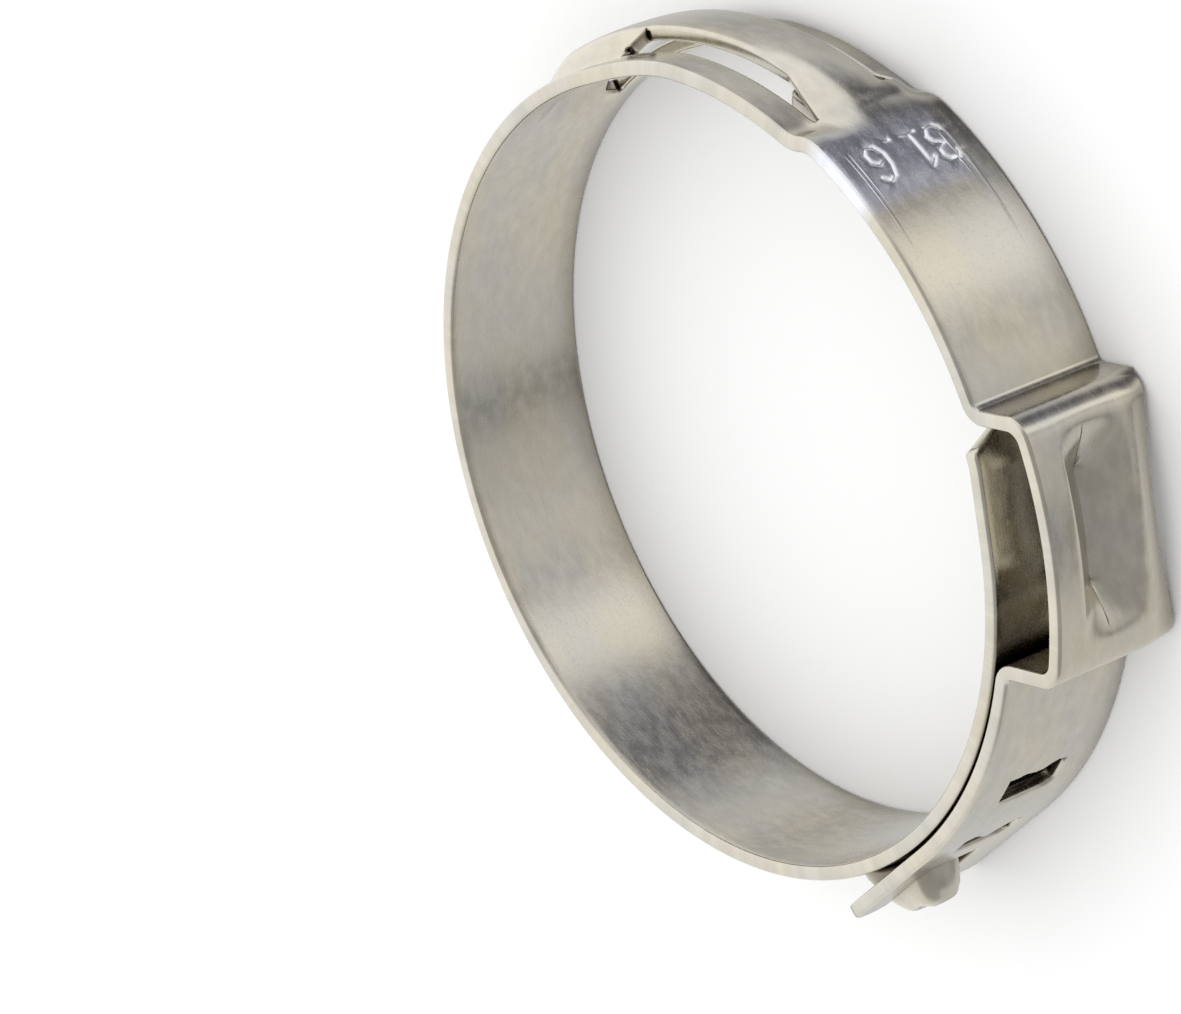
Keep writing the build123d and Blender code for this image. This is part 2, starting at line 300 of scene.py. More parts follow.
def rounded(x0, y0, x1, y1, corner, steps=4):
    """Points of a rounded rectangle."""
    points = []
    for cx, cy, first in (
        (x1 - corner, y1 - corner, 0),
        (x0 + corner, y1 - corner, 90),
        (x0 + corner, y0 + corner, 180),
        (x1 - corner, y0 + corner, 270),
    ):
        for i in range(steps + 1):
            a = math.radians(first + 90 * i / steps)
            points.append((cx + corner * math.cos(a), cy + corner * math.sin(a)))
    return points


def corner_points(cx, cy, corner, first, steps=4, turn=90):
    """Points of one rounded corner."""
    points = []
    for i in range(steps + 1):
        a = math.radians(first + turn * i / steps)
        points.append((cx + corner * math.cos(a), cy + corner * math.sin(a)))
    return points


outline = [
    (0.0, tongue_middle - tongue_tip_half),
    (tongue_tip_length, tongue_low),
    (shoulder_far, tongue_low),
    (shoulder_near, 0.0),
]
outline += corner_points(end - end_corner, end_corner, end_corner, 270)
notch_low = notch_level - notch_width / 2
notch_high = notch_level + notch_width / 2
outline += [(end, notch_low)]
for level, first in ((notch_low + notch_corner, 270), (notch_high - notch_corner, 180)):
    outline += corner_points(
        notch_start + notch_corner, level, notch_corner, first, turn=-90
    )
outline += [(end, notch_high)]
outline += corner_points(end - end_corner, width - end_corner, end_corner, 0)
outline += [
    (shoulder_near, width),
    (shoulder_far, tongue_high),
    (tongue_tip_length, tongue_high),
    (0.0, tongue_middle + tongue_tip_half),
]

opening_corner = 0.15
opening_slant = 0.8         # how much further on the arch's side of the opening starts
opening_droop = 0.04        # of the rail's edge, from the mouth to the step
mouth_rise = (1.2, 0.35)    # the arch's edge turns up this far past the mouth, by this much
front_opening = [
    (front_end, arch_mouth_high),
    (front_end, rail_high - opening_droop),
    (mouth, rail_high),
]
front_opening += corner_points(
    front_start + opening_corner, rail_high - opening_corner, opening_corner, 90
)
front_opening += corner_points(
    front_start + opening_slant, arch_high + opening_corner, opening_corner, 180
)
front_opening += [(mouth, arch_high), (mouth + mouth_rise[0], arch_high + mouth_rise[1])]
holes = [front_opening, rounded(rear_start, rail_low, rear_end, arch_low, opening_corner)]
for angle, (near, far), torn_edge in zip(window_angles, window_reach, torn_edges):
    x = on_lap(angle)
    low = window_level - window_width / 2
    high = window_level + window_width / 2
    hole = corner_points(x + far - window_corner, low + window_corner, window_corner, 270)
    hole += corner_points(x + far - window_corner, high - window_corner, window_corner, 0)
    rise = [high - window_width * i / (len(torn_edge) - 1) for i in range(len(torn_edge))]
    holes.append(hole + [(x + near + tear, level) for tear, level in zip(torn_edge, rise)])
for angle in slit_angles:
    x = on_ring(angle)
    low = window_level - slit_width / 2
    high = window_level + slit_width / 2
    holes.append(rounded(x, low, x + slit_length, high, slit_corner, 2))
guide_x = on_ring(guide_angle)


def offset(loop, distance):
    """Loop moved to its right by a distance, seen along its direction."""
    moved = []
    for i, (x, y) in enumerate(loop):
        x0, y0 = loop[i - 1]
        x1, y1 = loop[(i + 1) % len(loop)]
        into = Vector((x - x0, y - y0)).normalized()
        away = Vector((x1 - x, y1 - y)).normalized()
        n0 = Vector((into.y, -into.x))
        n1 = Vector((away.y, -away.x))
        move = (n0 + n1) / max(0.3, 1.0 + n0.dot(n1)) * distance
        moved.append((x + move.x, y + move.y))
    return moved


rim_round = 0.14            # the blank is drawn this much smaller, for the rounded rims
loops = [offset(outline, -rim_round)] + [offset(hole, rim_round) for hole in holes]
flat = bpy.data.curves.new("blank", "CURVE")
flat.dimensions = "2D"
flat.fill_mode = "BOTH"
for loop in loops:
    spline = flat.splines.new("POLY")
    spline.points.add(len(loop) - 1)
    for point, (x, y) in zip(spline.points, loop):
        point.co = (x, y, 0.0, 1.0)
    spline.use_cyclic_u = True
flat_object = bpy.data.objects.new("blank", flat)
scene.collection.objects.link(flat_object)
evaluated = flat_object.evaluated_get(bpy.context.evaluated_depsgraph_get())
blank = bpy.data.meshes.new_from_object(evaluated)
bpy.data.objects.remove(flat_object)

# ---- grid lines on the blank ----
weld = 0.0005
sliver = 0.01
bm = bmesh.new()
bm.from_mesh(blank)
bmesh.ops.remove_doubles(bm, verts=bm.verts, dist=weld)


def cut_lines(axis, values, reach=None):
    """Cuts the blank along lines across one axis, maybe only where the other axis is in reach."""
    normal = Vector((1, 0, 0)) if axis == 0 else Vector((0, 1, 0))
    other = 1 - axis
    for value in values:
        place = normal * value
        faces = bm.faces
        if reach:
            faces = [
                f
                for f in bm.faces
                if reach[0] - 1e-4 < f.calc_center_median()[other] < reach[1] + 1e-4
                and min(v.co[axis] for v in f.verts) < value < max(v.co[axis] for v in f.verts)
            ]
        geometry = set(faces)
        for f in faces:
            geometry.update(f.edges)
            geometry.update(f.verts)
        bmesh.ops.bisect_plane(
            bm, geom=list(geometry), dist=1e-5, plane_co=place, plane_no=normal
        )


def spread(start, stop, gap):
    """Even values from start to stop, no further apart than gap."""
    count = max(1, math.ceil((stop - start) / gap))
    return [start + (stop - start) * i / count for i in range(count + 1)]


dimple_start = at["upper_corner"]
dimple_end = at["lower_leg"]
stamp_depth = 0.035
digit_start = on_raised(53.8)
digit_end = on_raised(47.4)
foot_start = on_ring(130.0)
guide_rear = guide_x - guide_length - 0.2
guide_front = guide_x + 0.12
coarse = 0.4
# start and end along the strip, and the gap between two lines across it
fine = [
    (guide_rear, guide_front, 0.12),
    (guide_x - 0.08, guide_x + 0.04, 0.04),
    (foot_start, at["rails"], 0.25),
    (at["rails"], at["raised"], 0.16),
    (digit_start, digit_end, 0.05),
    (at["upper_foot"], at["upper_leg"], 0.09),
    (dimple_start, at["roof"], 0.1),
    (at["roof"], at["lower_corner"], 0.13),
    (at["lower_corner"], dimple_end, 0.1),
    (at["lower_foot"], at["lap"], 0.09),
]
# start and end along the strip, lowest and highest line along it, and their gap
fine_rows = [
    (guide_rear, guide_front, 2.6, 4.9, 0.1),
    (foot_start, at["raised"], 0.0, width, 0.2),
    (digit_start, digit_end, 1.05, 5.2, 0.05),
    (dimple_start, dimple_end, 0.0, width, 0.2),
    (dimple_start, dimple_end, 3.3, 5.25, 0.075),
]
stops = sorted({0.0, end} | {v for start, stop, gap in fine for v in (start, stop)})
columns = []
for start, stop in zip(stops, stops[1:]):
    gap = min([g for s, e, g in fine if s <= (start + stop) / 2 <= e] + [coarse])
    columns += spread(start, stop, gap)[:-1]
cut_lines(1, spread(0.0, width, coarse)[1:-1])
cut_lines(0, columns[1:])
for low, high, bottom, top, gap in fine_rows:
    edges = [c for c in columns if low - 0.2 <= c <= high + 0.2]
    cut_lines(1, spread(bottom, top, gap), (min(edges), max(edges)))
# the curve's fill leaves slanted edges, which would show as creases once the sheet is formed
slanted = [
    e
    for e in bm.edges
    if len(e.link_faces) == 2
    and abs(e.verts[0].co.x - e.verts[1].co.x) > 1e-4
    and abs(e.verts[0].co.y - e.verts[1].co.y) > 1e-4
]
bmesh.ops.dissolve_edges(bm, edges=slanted, use_verts=True)
bmesh.ops.remove_doubles(bm, verts=bm.verts, dist=sliver)
bmesh.ops.dissolve_degenerate(bm, edges=bm.edges, dist=0.001)
for face in bm.faces:
    face.normal_update()
    if face.normal.z < 0.0:
        face.normal_flip()

# ---- forming: how far the press pushes each point off the middle line ----
path_lengths = [0.0]
for one, two in zip(pen.points, pen.points[1:]):
    path_lengths.append(path_lengths[-1] + math.dist(one, two))


def station(x):
    """Name of the stretch a point lies on, and the line's angle and radius on the ring."""
    name = max((n for n in at if at[n] <= x + 1e-6), key=lambda n: at[n])
    i = min(max(bisect.bisect_right(path_lengths, x), 1), len(path_lengths) - 1)
    share = (x - path_lengths[i - 1]) / (path_lengths[i] - path_lengths[i - 1])
    low, high = Vector(pen.points[i - 1]), Vector(pen.points[i])
    place = low.lerp(high, min(1.0, max(0.0, share)))
    return name, math.degrees(math.atan2(place.y, place.x)) % 360.0, place.length


arch_crown = 0.06           # the arch's two edges lie this much below its middle
arch_middle = 2.8
dome_swell = 0.1            # by the mouth the arch swells this much
dome_drop = 0.42            # and its front edge dips this much towards the front rail


def arch_radius(angle, z):
    """Radius of the arch's middle surface: crowned, and low at its front by the mouth."""
    top = arch_line + (raised_line - arch_line) * smooth(66.0, 58.0, angle)
    dome = smooth(80.0, 68.0, angle) * smooth(55.0, 61.0, angle)
    top += dome * (dome_swell * smooth(1.4, 2.6, z) - dome_drop * smooth(3.2, 4.9, z))
    off_middle = abs(z - arch_middle) / 1.3
    top -= arch_crown * off_middle**2 * smooth(56.0, 64.0, angle)
    return top + (base_line - top) * smooth(arch_foot_top, arch_foot_end, angle)


def side_share(inside, start_weight, end_weight, start_flank, end_flank):
    """Share of the arch's height on one side: cut free from the rail between the two ends."""
    if inside:
        return 1.0 - start_weight * (1.0 - start_flank)
    return max(start_weight * start_flank, end_weight * end_flank)


def arch_share(angle, x, z):
    """How much of the arch's height a point gets."""
    front_cut = 4.5 if x < mouth else 4.8
    front = side_share(
        z < front_cut,
        smooth(92.0, 99.0, angle),
        smooth(front_end - 0.5, front_end + 0.4, x),
        smooth(5.3, 3.9, z),
        smooth(5.7, 4.75, z),
    )
    rear = side_share(
        z > (rail_low + arch_low) / 2,
        smooth(114.0, 124.0, angle),
        smooth(rear_end - 1.0, rear_end + 0.1, x),
        smooth(0.4, 1.8, z),
        smooth(0.0, 1.2, z),
    )
    return front * rear


# strokes of the size stamp, each digit about half a unit wide and one high
digit_strokes = {
    "3": [
        [(0.0, 0.85), (0.12, 1.02), (0.35, 1.02), (0.5, 0.85), (0.46, 0.64), (0.25, 0.55)],
        [(0.25, 0.55), (0.48, 0.45), (0.54, 0.25), (0.4, 0.04), (0.14, 0.0), (0.0, 0.16)],
    ],
    "1": [[(0.05, 0.82), (0.28, 1.02), (0.28, 0.0)], [(0.08, 0.0), (0.48, 0.0)]],
    ".": [[(0.0, 0.0), (0.08, 0.0)]],
    "6": [
        [(0.5, 0.9), (0.34, 1.02), (0.14, 0.9), (0.02, 0.6), (0.0, 0.28), (0.12, 0.04)],
        [(0.12, 0.04), (0.34, 0.0), (0.52, 0.16), (0.5, 0.42)],
        [(0.5, 0.42), (0.3, 0.54), (0.1, 0.44), (0.01, 0.3)],
    ],
}
digit_row = [("3", 1.18), ("1", 2.2), (".", 3.52), ("6", 4.15)]
digit_size = 1.68
digit_width = 1.5
digit_foot = on_raised(53.5)
stroke_half = 0.2           # a stroke runs out this far from its line
stroke_floor = 0.04         # and is at its full depth this near to it


def stroke_distance(px, py):
    """Distance of a point to the nearest stamped stroke."""
    best = math.inf
    for name, offset in digit_row:
        if not offset - 0.5 < py < offset + 1.3:
            continue
        for stroke in digit_strokes[name]:
            for (ax, ay), (bx, by) in zip(stroke, stroke[1:]):
                x0, y0 = digit_foot + ay * digit_size, offset + ax * digit_width
                x1, y1 = digit_foot + by * digit_size, offset + bx * digit_width
                dx, dy = x1 - x0, y1 - y0
                t = ((px - x0) * dx + (py - y0) * dy) / (dx * dx + dy * dy)
                t = min(1.0, max(0.0, t))
                best = min(best, math.hypot(px - x0 - dx * t, py - y0 - dy * t))
    return best


def guide_rise(x, z):
    """Rise of the guide over the sheet: a steep front, a dented top and a sloping rear."""
    back = (guide_x - x) / guide_length
    side = abs(z - guide_level) / (guide_width / 2)
    if back < 0.0 or back > 1.0 or side >= 1.0:
        return 0.0
    top = smooth(-0.35, 0.4, back) * smooth(1.0, 0.7, back) * math.sqrt(1.0 - side**4)
    dent = smooth(0.16, 0.03, abs(back - 0.52)) * smooth(0.75, 0.2, side)
    return guide_height * top - guide_dent * dent


dimple_top = 5.05           # where the dimple's front wall starts
dimple_crease = 3.6         # and where it ends
dimple_low = 0.8            # where the rear slope runs out
dimple_deep = 1.15
dimple_shift = 0.35         # towards the upper leg
pit_place = 2.4
pit_deep = 0.2


def dimple_depth(y, z):
    """Depth of the dimple: a flat front wall down to a crease, and a long soft rear slope."""
    length = smooth(4.35, 2.0, abs(y))
    wall = min(1.0, max(0.0, (dimple_top - z) / (dimple_top - dimple_crease)))
    rear = smooth(dimple_low, dimple_crease, z)
    depth = dimple_deep * length * min(wall, rear)
    pit = math.hypot((abs(y) - pit_place) / 0.45, (z - dimple_crease + 0.15) / 0.6)
    return depth + pit_deep * smooth(1.0, 0.0, pit)


def stamp_share(x, z):
    """How far a point is inside a stamped stroke."""
    if not digit_start - stroke_half < x < digit_end + stroke_half:
        return 0.0
    return smooth(stroke_half, stroke_floor, stroke_distance(x, z))


roof_middle = (at["roof"] + at["lower_corner"]) / 2
sag_ends = 0.3              # the roof's lower edge sinks this much all along
sag_middle = 0.45           # and this much more in its middle
lower_waist = 0.55          # the dimple draws the roof's lower edge in by this much
upper_waist = 0.1           # and its upper edge by this much


def form(x, z):
    """Offset from the middle line and level of a point of the blank."""
    name, angle, radius = station(x)
    lift = guide_rise(x, z)
    level = z
    if name in ("ring", "bow", "rails", "step", "raised"):
        if raised_end < angle < arch_foot_end:
            rise = arch_radius(angle, z) - radius
            lift += rise * arch_share(angle, x, z)
        if name == "raised":
            lift -= stamp_depth * stamp_share(x, z)
    elif name in ("roof", "upper_corner", "lower_corner"):
        y = roof_middle - x
        ends = smooth(5.9, 4.6, abs(y))
        lift -= dimple_depth(y - dimple_shift, z) * ends
        sag = sag_ends + sag_middle * max(0.0, 1.0 - (y / 4.6) ** 2)
        lift -= sag * smooth(1.9, 0.0, z) ** 1.5 * ends
        draw = max(0.0, 1.0 - (y / 5.6) ** 2)
        low = lower_waist * draw
        high = width - upper_waist * draw
        level = low + (high - low) * z / width
    return lift, level


bm.verts.index_update()
flat_places = [(v.co.x, v.co.y) for v in bm.verts]
guide_margin = 0.5


def fill_behind(x, z):
    """How much metal fills the guide from behind at a point, or None away from the guide."""
    if abs(guide_x - guide_length / 2 - x) >= guide_length / 2 + guide_margin:
        return None
    return guide_rise(x, z) * MM


guide_fill = [fill_behind(x, z) for x, z in flat_places]
stamp_shares = [stamp_share(x, z) for x, z in flat_places]
for v in bm.verts:
    lift, level = form(v.co.x, v.co.y)
    v.co = (v.co.x, level, lift)
bmesh.ops.reverse_faces(bm, faces=bm.faces)
bm.to_mesh(blank)
bm.free()

# ---- rolling: the blank follows the middle line ----
path = bpy.data.curves.new("middle_line", "CURVE")
path.dimensions = "3D"
path_spline = path.splines.new("POLY")
path_spline.points.add(len(pen.points) - 1)
for point, (x, y) in zip(path_spline.points, pen.points):
    point.co = (x, y, 0.0, 1.0)
path_object = bpy.data.objects.new("middle_line", path)
scene.collection.objects.link(path_object)
path_object.hide_render = True


def socket_id(tree, name):
    """Identifier of a named input of a tree."""
    return next(i.identifier for i in tree.interface.items_tree if i.name == name)


def rolling_tree():
    """Geometry Nodes tree that rolls a flat blank along a path: x of the blank runs along
    the path, y across the strip and z is how far the sheet stands off the path."""
    tree = bpy.data.node_groups.new("rolled_strip", "GeometryNodeTree")
    tree.interface.new_socket("Blank", in_out="INPUT", socket_type="NodeSocketGeometry")
    tree.interface.new_socket("Path", in_out="INPUT", socket_type="NodeSocketObject")
    tree.interface.new_socket("Scale", in_out="INPUT", socket_type="NodeSocketFloat")
    tree.interface.new_socket("Material", in_out="INPUT", socket_type="NodeSocketMaterial")
    tree.interface.new_socket("Strip", in_out="OUTPUT", socket_type="NodeSocketGeometry")

    def node(kind, **settings):
        made = tree.nodes.new(kind)
        for key, value in settings.items():
            setattr(made, key, value)
        return made

    def link(a, out, b, into):
        tree.links.new(a.outputs[out], b.inputs[into])

    given = node("NodeGroupInput")
    result = node("NodeGroupOutput")
    info = node("GeometryNodeObjectInfo")
    link(given, "Path", info, "Object")
    position = node("GeometryNodeInputPosition")
    parts = node("ShaderNodeSeparateXYZ")
    link(position, 0, parts, 0)
    sample = node("GeometryNodeSampleCurve", mode="LENGTH", use_all_curves=True)
    link(info, "Geometry", sample, "Curves")
    link(parts, "X", sample, "Length")
    outwards = node("ShaderNodeVectorMath", operation="CROSS_PRODUCT")
    outwards.inputs[0].default_value = (0.0, 0.0, 1.0)
    link(sample, "Tangent", outwards, 1)
    unit = node("ShaderNodeVectorMath", operation="NORMALIZE")
    link(outwards, 0, unit, 0)
    lifted = node("ShaderNodeVectorMath", operation="SCALE")
    link(unit, 0, lifted, 0)
    link(parts, "Z", lifted, "Scale")
    across = node("ShaderNodeCombineXYZ")
    link(parts, "Y", across, "Z")
    first = node("ShaderNodeVectorMath", operation="ADD")
    link(sample, "Position", first, 0)
    link(lifted, 0, first, 1)
    second = node("ShaderNodeVectorMath", operation="ADD")
    link(first, 0, second, 0)
    link(across, 0, second, 1)
    scaled = node("ShaderNodeVectorMath", operation="SCALE")
    link(second, 0, scaled, 0)
    link(given, "Scale", scaled, "Scale")
    place = node("GeometryNodeSetPosition")
    link(given, "Blank", place, "Geometry")
    link(scaled, 0, place, "Position")
    realize = node("GeometryNodeRealizeInstances")
    link(place, 0, realize, 0)
    paint = node("GeometryNodeSetMaterial")
    link(realize, 0, paint, "Geometry")
    link(given, "Material", paint, "Material")
    link(paint, 0, result, 0)
    return tree


def add_node(tree, kind, values=None, **settings):
    """New node of a tree, with its settings and the values or links of its inputs."""
    made = tree.nodes.new(kind)
    for key, value in settings.items():
        setattr(made, key, value)
    for key, value in (values or {}).items():
        if isinstance(value, bpy.types.NodeSocket):
            tree.links.new(value, made.inputs[key])
        else:
            made.inputs[key].default_value = value
    return made


def ramp(tree, value, low, high, to_low=0.0, to_high=1.0):
    """Value carried from one range to another, with smooth ends."""
    values = {"Value": value, "From Min": low, "From Max": high}
    values |= {"To Min": to_low, "To Max": to_high}
    node = add_node(tree, "ShaderNodeMapRange", values, interpolation_type="SMOOTHSTEP")
    return node.outputs["Result"]


def maths(tree, operation, *values):
    node = add_node(tree, "ShaderNodeMath", dict(enumerate(values)), operation=operation)
    return node.outputs[0]


def mixed(tree, share, one, two, blend="MIX"):
    values = {"Factor": share}
    node = add_node(tree, "ShaderNodeMix", values, data_type="RGBA", blend_type=blend)
    for socket, value in ((node.inputs[6], one), (node.inputs[7], two)):
        if isinstance(value, bpy.types.NodeSocket):
            tree.links.new(value, socket)
        else:
            socket.default_value = value
    return node.outputs[2]


def noise(tree, place, scale, detail=2.0, rough=0.5):
    values = {"Vector": place, "Scale": scale, "Detail": detail, "Roughness": rough}
    return add_node(tree, "ShaderNodeTexNoise", values).outputs["Fac"]


def stretched(tree, place, sizes):
    """Coordinates divided by the size of a pattern in each direction, in millimetres."""
    scale = tuple(1.0 / size for size in sizes)
    return add_node(tree, "ShaderNodeMapping", {"Vector": place, "Scale": scale}).outputs[0]


# level across the strip, half width, start and end of the feed scuffs beside the stamp
scuff_lines = (
    (1.02, 0.1, on_raised(54.5), on_raised(33.0)),
    (1.32, 0.07, on_raised(53.0), on_raised(42.0)),
    (5.42, 0.07, on_raised(54.5), on_raised(44.0)),
    (5.62, 0.06, on_raised(54.0), on_raised(36.0)),
)
# size of each pattern along the strip, across it and from skin to skin
cloud_size = (6.0, 3.0, 9.0)
blotch_size = (0.9, 0.5, 9.0)
grain_size = (1.6, 0.06, 9.0)
speck_size = (0.16, 0.12, 9.0)
bump_height = 0.01
hollow_reach = 2.2
steel_warm = "#d2cbba"
steel_grey = "#cac7be"
# colour of painted light on the ground around the stamp: paler than the steel, and cooler
stamp_ground_painted_light = "#f0f2fa"
# colour of a painted highlight: the shine of the stamped strokes
stamp_stroke_highlight = "#fafafa"
# colour of the painted shade that darkens the recesses
painted_shade_colour = "#5f5546"


def stainless_strip():
    """Stainless steel strip, cold rolled and tumbled: satin, with fine lines along it."""
    material = bpy.data.materials.new("stainless_strip")
    material.use_nodes = True
    steel = material.node_tree
    shader = steel.nodes["Principled BSDF"]
    strip_place = add_node(steel, "ShaderNodeAttribute", attribute_name="strip").outputs["Vector"]
    strip_parts = add_node(steel, "ShaderNodeSeparateXYZ", {0: strip_place})
    strip_x, strip_z, strip_side = strip_parts.outputs
    clouds = noise(steel, stretched(steel, strip_place, cloud_size), 1.0, 3.0)
    blotches = noise(steel, stretched(steel, strip_place, blotch_size), 1.0, 4.0, 0.6)
    grain = noise(steel, stretched(steel, strip_place, grain_size), 1.0, 3.0, 0.6)
    specks = noise(steel, stretched(steel, strip_place, speck_size), 1.0, 2.0, 0.6)

    colour = mixed(steel, ramp(steel, clouds, 0.35, 0.65), linear(steel_warm), linear(steel_grey))
    # painted light: the ground around the stamp is painted paler than the steel, and cooler in
    # tint
    stamp_zone = maths(
        steel,
        "MULTIPLY",
        ramp(steel, strip_x, digit_start - 1.4, digit_start - 0.1),
        ramp(steel, strip_x, digit_end + 1.2, digit_end + 0.1),
    )
    stamp_zone = maths(steel, "MULTIPLY", stamp_zone, ramp(steel, strip_z, 0.6, 1.6))
    colour = mixed(steel, maths(steel, "MULTIPLY", stamp_zone, 0.85), colour, linear(stamp_ground_painted_light))
    # painted highlight: the stamped strokes are painted near white, for the shine of their dented
    # faces
    stamped = add_node(steel, "ShaderNodeAttribute", attribute_name="stamp").outputs["Fac"]
    colour = mixed(steel, maths(steel, "MULTIPLY", stamped, 0.8), colour, linear(stamp_stroke_highlight))
    shade = ramp(steel, blotches, 0.3, 0.75, 0.9, 1.05)
    shade_grey = add_node(steel, "ShaderNodeCombineColor", {0: shade, 1: shade, 2: shade})
    colour = mixed(steel, 1.0, colour, shade_grey.outputs[0], "MULTIPLY")
    # painted shade: where other metal lies within hollow_reach, the colour is darkened towards a
    # brown, standing in for the shade and dark reflections in the recesses
    hollow = add_node(
        steel, "ShaderNodeAmbientOcclusion", {"Distance": hollow_reach * MM}, samples=6
    ).outputs["AO"]
    painted_shade_share = ramp(steel, hollow, 0.15, 0.85)
    colour = mixed(steel, painted_shade_share, linear(painted_shade_colour), colour)
    steel.links.new(colour, shader.inputs["Base Color"])
    shader.inputs["Metallic"].default_value = 1.0
    rough_blotches = ramp(steel, blotches, 0.3, 0.7, 0.19, 0.27)
    rough = maths(steel, "ADD", rough_blotches, ramp(steel, specks, 0.5, 0.8, 0.0, 0.08))
    steel.links.new(rough, shader.inputs["Roughness"])
    flat_share = maths(steel, "ABSOLUTE", strip_side)
    grain = maths(steel, "MULTIPLY", grain, flat_share)
    blotches = maths(steel, "MULTIPLY", blotches, flat_share)
    fine_height = maths(steel, "MULTIPLY", grain, 0.5)
    height = maths(steel, "ADD", fine_height, maths(steel, "MULTIPLY", specks, 0.35))
    height = maths(steel, "ADD", height, maths(steel, "MULTIPLY", blotches, 1.2))
    scuffs = None
    for level, half_width, start, stop in scuff_lines:
        across = maths(steel, "ABSOLUTE", maths(steel, "SUBTRACT", strip_z, level))
        line = ramp(steel, across, half_width, 0.0)
        for low, high in ((start, start + 0.8), (stop, stop - 2.0)):
            line = maths(steel, "MULTIPLY", line, ramp(steel, strip_x, low, high))
        line = maths(steel, "MULTIPLY", line, maths(steel, "MAXIMUM", strip_side, 0.0))
        scuffs = line if scuffs is None else maths(steel, "ADD", scuffs, line)
    scuffs = maths(steel, "MULTIPLY", scuffs, ramp(steel, grain, 0.3, 0.6, 0.4, 1.0))
    height = maths(steel, "ADD", height, maths(steel, "MULTIPLY", scuffs, 2.2))
    values = {"Strength": 0.5, "Distance": bump_height * MM, "Height": height}
    bump = add_node(steel, "ShaderNodeBump", values)
    steel.links.new(bump.outputs["Normal"], shader.inputs["Normal"])
    return material


material = stainless_strip()
roller = bpy.data.objects.new("roller", blank)
scene.collection.objects.link(roller)
tree = rolling_tree()
rolling = roller.modifiers.new("rolled_strip", "NODES")
rolling.node_group = tree
rolling[socket_id(tree, "Path")] = path_object
rolling[socket_id(tree, "Scale")] = MM
rolling[socket_id(tree, "Material")] = material
evaluated = roller.evaluated_get(bpy.context.evaluated_depsgraph_get())
rolled = bpy.data.meshes.new_from_object(evaluated)
rolled.name = "band"
bpy.data.objects.remove(roller)
bpy.data.objects.remove(path_object)


def thick_sheet(skin, half, corner, segments, flat, fill, marks):
    """Solid sheet round a middle surface, whose open edges get a rounded rim outside them.
    Where fill is given the inner skin stays that much behind, so that the place is solid."""
    sheet = bmesh.new()
    sheet.from_mesh(skin)
    sheet.normal_update()
    places = [v.co.copy() for v in sheet.verts]
    normals = [v.normal.copy() for v in sheet.verts]
    faces = [[v.index for v in f.verts] for f in sheet.faces]
    after = {}
    before = {}
    for edge in sheet.edges:
        if len(edge.link_loops) != 1:
            continue
        loop = edge.link_loops[0]
        start = loop.vert.index
        stop = loop.link_loop_next.vert.index
        after[start] = stop
        before[stop] = start
    sheet.free()
    count = len(places)
    points = [p + n * half for p, n in zip(places, normals)]
    for place, normal, depth in zip(places, normals, fill):
        if depth is not None:
            normal = Vector((place.x, place.y, 0.0)).normalized()
        points.append(place - normal * (half + (depth or 0.0)))
    polygons = faces + [[i + count for i in reversed(f)] for f in faces]
    strip = [(x, y, 1.0) for x, y in flat] + [(x, y, -1.0) for x, y in flat]
    rings = {}
    for index in after:
        normal = normals[index]
        tangent = (places[after[index]] - places[before[index]]).normalized()
        outwards = tangent.cross(normal).normalized()
        ring = [index]
        for i in range(1, segments + 1):
            t = math.radians(90 * i / segments)
            ring.append(len(points))
            points.append(
                places[index]
                + outwards * corner * math.sin(t)
                + normal * (half - corner + corner * math.cos(t))
            )
        for i in range(segments, 0, -1):
            t = math.radians(90 * i / segments)
            ring.append(len(points))
            points.append(
                places[index]
                + outwards * corner * math.sin(t)
                - normal * (half - corner + corner * math.cos(t))
            )
        ring.append(index + count)
        strip += [(flat[index][0], flat[index][1], 0.0)] * (len(ring) - 2)
        rings[index] = ring
    for start, stop in after.items():
        one = rings[start]
        two = rings[stop]
        for i in range(len(one) - 1):
            polygons.append([one[i], one[i + 1], two[i + 1], two[i]])
    made = bpy.data.meshes.new("band")
    made.from_pydata([tuple(p) for p in points], [], polygons)
    places_on_strip = made.attributes.new("strip", "FLOAT_VECTOR", "POINT")
    places_on_strip.data.foreach_set("vector", [c for place in strip for c in place])
    stamped = made.attributes.new("stamp", "FLOAT", "POINT")
    stamped.data.foreach_set("value", marks + [0.0] * (len(points) - count))
    made.validate()
    return made


rim_segments = 4
finished = thick_sheet(
    rolled,
    thickness / 2 * MM,
    rim_round * MM,
    rim_segments,
    flat_places,
    guide_fill,
    stamp_shares,
)
finished.materials.append(material)
finished.shade_smooth()
band = bpy.data.objects.new("band", finished)
scene.collection.objects.link(band)
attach(band, "root")
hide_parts("clamp_band")

# ---- floor ----
floor_reach = 0.6
floor_mesh = bpy.data.meshes.new("floor")
floor_mesh.from_pydata(
    [(x * floor_reach, y * floor_reach, 0) for x, y in ((-1, -1), (1, -1), (1, 1), (-1, 1))],
    [],
    [(0, 1, 2, 3)],
)
floor = bpy.data.objects.new("floor", floor_mesh)
scene.collection.objects.link(floor)

# ---- light: the soft studio that the steel mirrors ----
# direction round the object in degrees, brightness, and how cool the light is there
studio_stops = (
    (-180.0, 0.72, 0.0),
    (-60.0, 0.78, 0.0),
    (-36.0, 0.76, 0.0),
    (-22.0, 0.34, 0.0),
    (-8.0, 0.66, 0.0),
    (20.0, 0.84, 0.0),
    (33.0, 0.70, 0.0),
    (46.0, 1.30, 0.0),
    (58.0, 1.20, 0.0),
    (70.0, 0.36, 0.6),
    (86.0, 0.14, 1.0),
    (102.0, 0.14, 1.0),
    (114.0, 0.50, 0.4),
    (128.0, 0.74, 0.0),
    (150.0, 0.52, 0.0),
    (180.0, 0.72, 0.0),
)
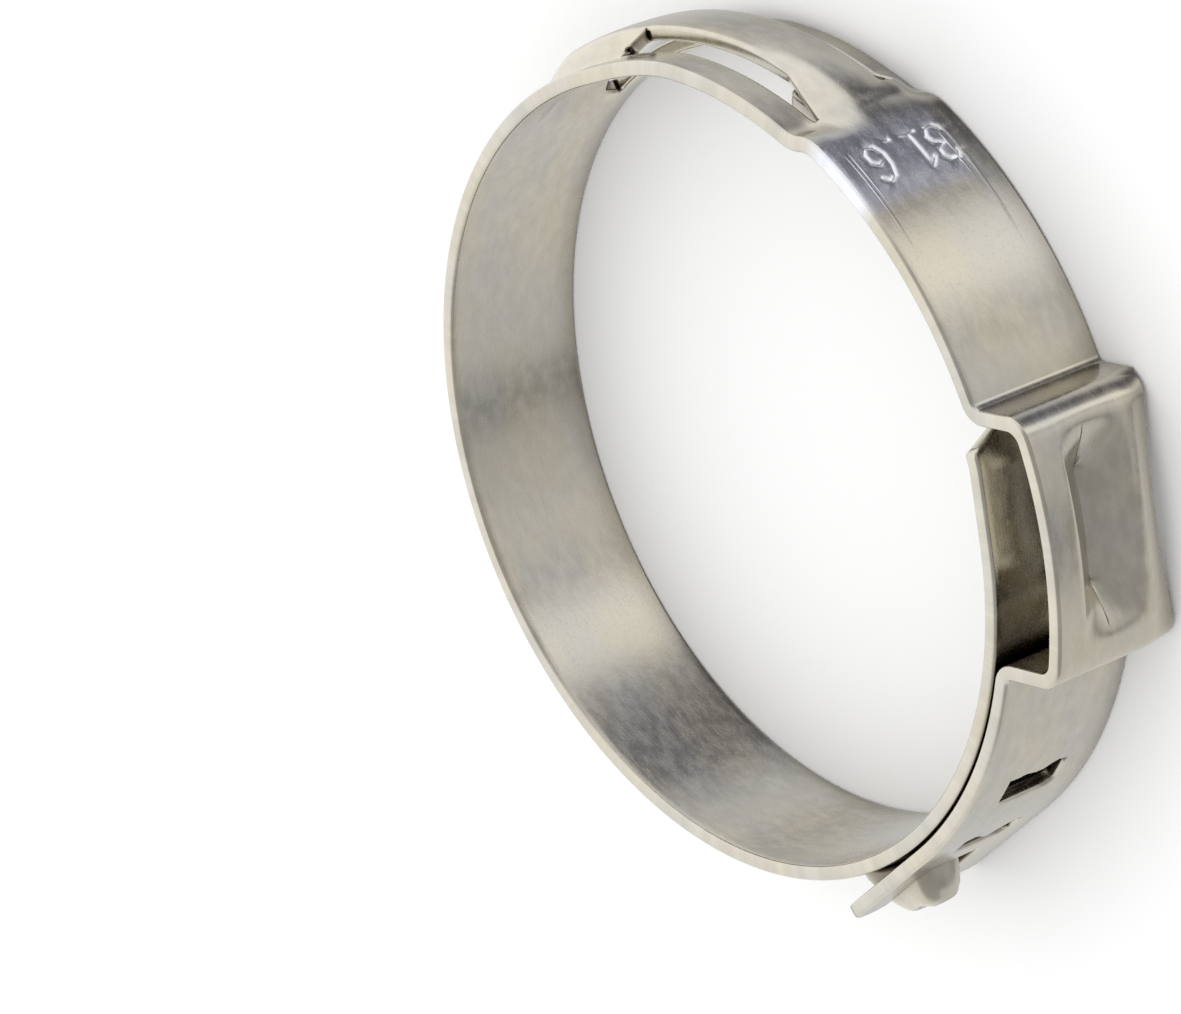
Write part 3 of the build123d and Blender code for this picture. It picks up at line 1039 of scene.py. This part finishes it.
# the same for what is mirrored from higher up
upper_stops = (
    (-180.0, 1.2, 0.0),
    (-100.0, 1.0, 0.0),
    (-50.0, 0.46, 0.0),
    (0.0, 0.4, 0.0),
    (40.0, 0.5, 0.0),
    (84.0, 1.1, 0.2),
    (120.0, 1.25, 0.0),
    (180.0, 1.2, 0.0),
)
studio_cool = 0.16
upper_start = -0.56        # where the upper light begins and is full, as the sine of its height
upper_full = -0.36


def studio(tree, direction):
    """Colour of the soft studio round the object in a direction."""
    parts = add_node(tree, "ShaderNodeSeparateXYZ", {0: direction}).outputs
    turn = maths(tree, "ARCTAN2", parts[1], parts[0])
    share = maths(tree, "MULTIPLY_ADD", turn, 0.5 / math.pi, 0.5)
    bands = []
    for band_stops in (studio_stops, upper_stops):
        around = add_node(tree, "ShaderNodeValToRGB", {"Fac": share})
        around.color_ramp.interpolation = "EASE"
        stops = around.color_ramp.elements
        while len(stops) < len(band_stops):
            stops.new(0.5)
        for stop, (angle, level, cool) in zip(stops, band_stops):
            stop.position = (angle + 180.0) / 360.0
            stop.color = (level, level, level * (1.0 + studio_cool * cool), 1.0)
        bands.append(around.outputs[0])
    return mixed(tree, ramp(tree, parts[2], upper_start, upper_full), *bands)


def lit_by_studio(tree, direction, surface, output):
    """Shows a surface as it is, but to mirror rays the studio behind it."""
    path_kind = add_node(tree, "ShaderNodeLightPath").outputs
    glow = add_node(tree, "ShaderNodeEmission", {"Color": studio(tree, direction)}).outputs[0]
    values = {0: path_kind["Is Glossy Ray"], 1: surface, 2: glow}
    both = add_node(tree, "ShaderNodeMixShader", values)
    tree.links.new(both.outputs[0], output.inputs["Surface"])


# white paper backdrop
paper = bpy.data.materials.new("paper")
paper.use_nodes = True
sheet_tree = paper.node_tree
paper_shader = sheet_tree.nodes["Principled BSDF"]
paper_shader.inputs["Base Color"].default_value = linear("#f7f7f7")
paper_shader.inputs["Roughness"].default_value = 0.9
paper_shader.inputs["Specular IOR Level"].default_value = 0.1
towards = add_node(sheet_tree, "ShaderNodeNewGeometry").outputs["Incoming"]
away = add_node(sheet_tree, "ShaderNodeVectorMath", {0: towards, "Scale": -1.0}, operation="SCALE")
paper_output = sheet_tree.nodes["Material Output"]
lit_by_studio(sheet_tree, away.outputs[0], paper_shader.outputs[0], paper_output)
floor_mesh.materials.append(paper)

# even white light from all round
sky_strength = 1.19
world = bpy.data.worlds.new("world")
world.use_nodes = True
sky = world.node_tree
sky_shader = sky.nodes["Background"]
sky_shader.inputs["Color"].default_value = linear("#ffffff")
sky_shader.inputs["Strength"].default_value = sky_strength
sky_direction = add_node(sky, "ShaderNodeTexCoord").outputs["Generated"]
lit_by_studio(sky, sky_direction, sky_shader.outputs[0], sky.nodes["World Output"])
scene.world = world
